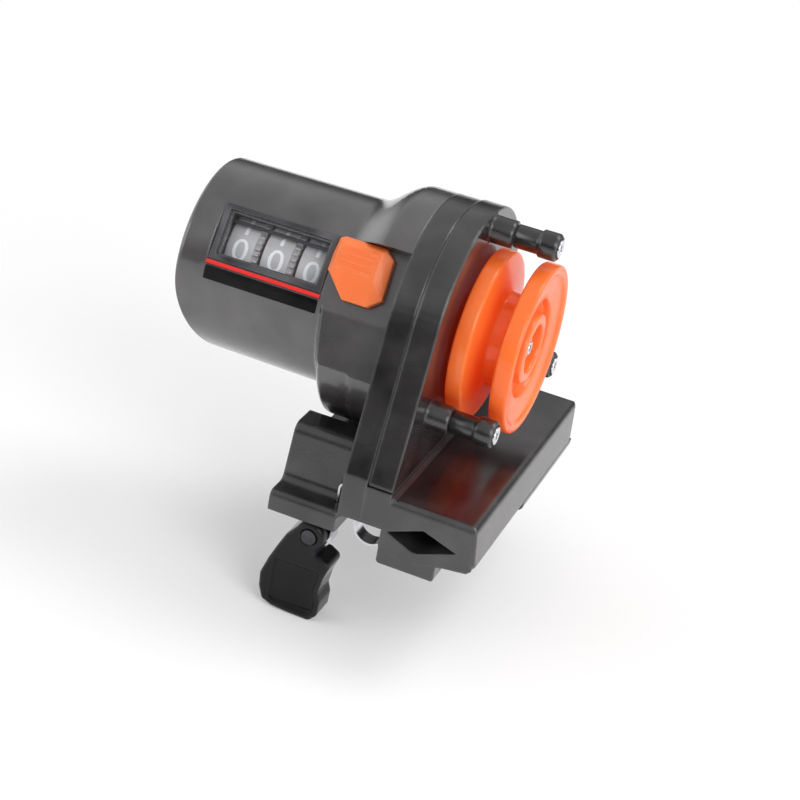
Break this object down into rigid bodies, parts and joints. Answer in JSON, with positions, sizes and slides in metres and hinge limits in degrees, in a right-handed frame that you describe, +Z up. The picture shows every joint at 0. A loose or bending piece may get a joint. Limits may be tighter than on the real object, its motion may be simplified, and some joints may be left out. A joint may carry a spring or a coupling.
{
  "type": "fishing line counter",
  "caption": "Clip-on line counter: a grooved measuring wheel between guide posts drives a geared digit counter in a round housing with window and reset slider, on a base with a strap rod clamp.",
  "frame": {"origin": "centre of the rod in the strap clamp, at the middle of the strap", "axes": "+X along the measuring wheel's axis from the housing towards the wheel, +Y along the rod, +Z up"},
  "size_m": [0.0782, 0.0688, 0.0854],
  "materials": {
    "black_moulding": "fine matte texture",
    "black_gloss": "gloss",
    "bezel_grey": "satin",
    "orange": "satin, slightly translucent",
    "clear": "clear",
    "red_line": "gloss",
    "wheel_white": "satin",
    "steel": "bright",
    "bronze": "satin",
    "gear_white": "satin"
  },
  "bodies": {
    "case": {"barrel_housing": "black_moulding", "gear_frame": "black_moulding", "wheel_plate": "black_moulding", "right_base": "black_moulding", "base_cover": "black_moulding", "window_bezel": "bezel_grey", "window_lens": "clear", "index_strip": "red_line", "counter_frame": "black_gloss", "transfer_shaft": "steel", "shaft_bushes": "bronze", "gear_pins": "steel", "post_screws": "steel", "reset_spring": "steel", "lever_pin": "steel", "clamp_strap": "steel", "strap_screw": "steel", "case_screws": "steel", "base_screws": "steel"},
    "wheel": {"measuring_wheel": "orange", "wheel_shaft": "steel", "wheel_washer": "steel", "wheel_screw": "steel", "drive_pinion": "steel"},
    "first": {"first_gear": "gear_white"},
    "second": {"second_gear": "gear_white"},
    "metres": {"metres_wheel": "wheel_white", "number_shaft": "steel", "output_gear": "gear_white"},
    "tens": {"tens_wheel": "wheel_white"},
    "hundreds": {"hundreds_wheel": "wheel_white"},
    "tens_idler": {"tens_pinion": "steel"},
    "hundreds_idler": {"hundreds_pinion": "steel"},
    "roller_upper": {"upper_roller": "black_moulding"},
    "roller_front": {"front_roller": "black_moulding"},
    "roller_rear": {"rear_roller": "black_moulding"},
    "reset": {"reset_slider": "orange", "reset_retainer": "black_gloss"},
    "lever": {"clamp_lever": "black_gloss"}
  },
  "joints": [
    {"name": "wheel_spin", "type": "hinge", "parent": "case", "child": "wheel", "pos_m": [0.01, 0.0284, 0.035], "axis": [1, 0, 0], "continuous": true},
    {"name": "first_gear_spin", "type": "hinge", "parent": "case", "child": "first", "pos_m": [-0.008, 0.03616, 0.03034], "axis": [1, 0, 0], "continuous": true},
    {"name": "second_gear_spin", "type": "hinge", "parent": "case", "child": "second", "pos_m": [-0.01, 0.0269, 0.02906], "axis": [1, 0, 0], "continuous": true},
    {"name": "metres_spin", "type": "hinge", "parent": "case", "child": "metres", "pos_m": [-0.0269, 0.0224, 0.03861], "axis": [1, 0, 0], "continuous": true},
    {"name": "tens_spin", "type": "hinge", "parent": "case", "child": "tens", "pos_m": [-0.0349, 0.0224, 0.03861], "axis": [1, 0, 0], "continuous": true},
    {"name": "hundreds_spin", "type": "hinge", "parent": "case", "child": "hundreds", "pos_m": [-0.0429, 0.0224, 0.03861], "axis": [1, 0, 0], "continuous": true},
    {"name": "tens_idler_spin", "type": "hinge", "parent": "case", "child": "tens_idler", "pos_m": [-0.0316, 0.03247, 0.04309], "axis": [1, 0, 0], "continuous": true},
    {"name": "hundreds_idler_spin", "type": "hinge", "parent": "case", "child": "hundreds_idler", "pos_m": [-0.0396, 0.03247, 0.04309], "axis": [1, 0, 0], "continuous": true},
    {"name": "upper_roller_spin", "type": "hinge", "parent": "case", "child": "roller_upper", "pos_m": [0.0131, 0.0284, 0.0577], "axis": [1, 0, 0], "continuous": true},
    {"name": "front_roller_spin", "type": "hinge", "parent": "case", "child": "roller_front", "pos_m": [0.0131, 0.00874, 0.02365], "axis": [1, 0, 0], "continuous": true},
    {"name": "rear_roller_spin", "type": "hinge", "parent": "case", "child": "roller_rear", "pos_m": [0.0131, 0.04806, 0.02365], "axis": [1, 0, 0], "continuous": true},
    {"name": "reset_slide", "type": "slide", "parent": "case", "child": "reset", "axis": [0, -0.515, -0.8572], "range_m": [0, 0.0022], "stiffness_N_per_m": 400, "deforming": ["reset_spring"]},
    {"name": "lever_swing", "type": "hinge", "parent": "case", "child": "lever", "pos_m": [-0.0117, 0, -0.005], "axis": [0, 1, 0], "range_deg": [0, 55]}
  ],
  "couplings": [
    {"joint": "first_gear_spin", "follows": "wheel_spin", "ratio": -0.2},
    {"joint": "second_gear_spin", "follows": "wheel_spin", "ratio": 0.038462},
    {"joint": "metres_spin", "follows": "wheel_spin", "ratio": -0.0064103},
    {"joint": "tens_spin", "follows": "wheel_spin", "ratio": -0.00064103},
    {"joint": "hundreds_spin", "follows": "wheel_spin", "ratio": -0.000064103},
    {"joint": "tens_idler_spin", "follows": "wheel_spin", "ratio": 0.0021368},
    {"joint": "hundreds_idler_spin", "follows": "wheel_spin", "ratio": 0.00021368}
  ]
}
